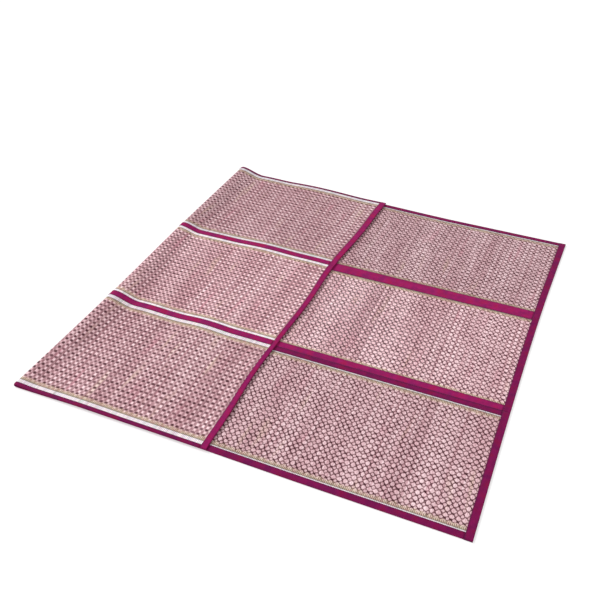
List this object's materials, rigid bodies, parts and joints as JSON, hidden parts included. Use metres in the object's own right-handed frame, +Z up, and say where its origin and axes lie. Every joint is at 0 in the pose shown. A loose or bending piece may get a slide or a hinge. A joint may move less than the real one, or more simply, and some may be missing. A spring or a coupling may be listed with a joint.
{
  "type": "folded woven grass floor mat",
  "caption": "Woven grass floor mat of long strips sewn side by side and bound in cotton tape, laid on the floor folded over on itself.",
  "frame": {"origin": "middle of the laid mat's footprint, on the floor", "axes": "+X along the strips from the fold to the open end, +Y across the strips from the front edge to the back edge, +Z up"},
  "size_m": [1.456, 1.523, 0.041],
  "materials": {
    "woven_grass": "dyed woven grass, matt with a faint sheen",
    "cotton_tape": "matt woven cotton"
  },
  "bodies": {
    "root": {"strip_front": "woven_grass", "strip_middle": "woven_grass", "strip_back": "woven_grass", "edge_tape_front": "cotton_tape", "edge_tape_back": "cotton_tape", "joint_tape_back_face": "cotton_tape", "joint_tape_back_reverse": "cotton_tape", "joint_tape_front_near": "cotton_tape", "joint_tape_front_far": "cotton_tape", "joint_tape_front_reverse": "cotton_tape", "end_tape_right_front": "cotton_tape", "end_tape_right_back": "cotton_tape", "end_tape_flap": "cotton_tape"}
  },
  "joints": []
}
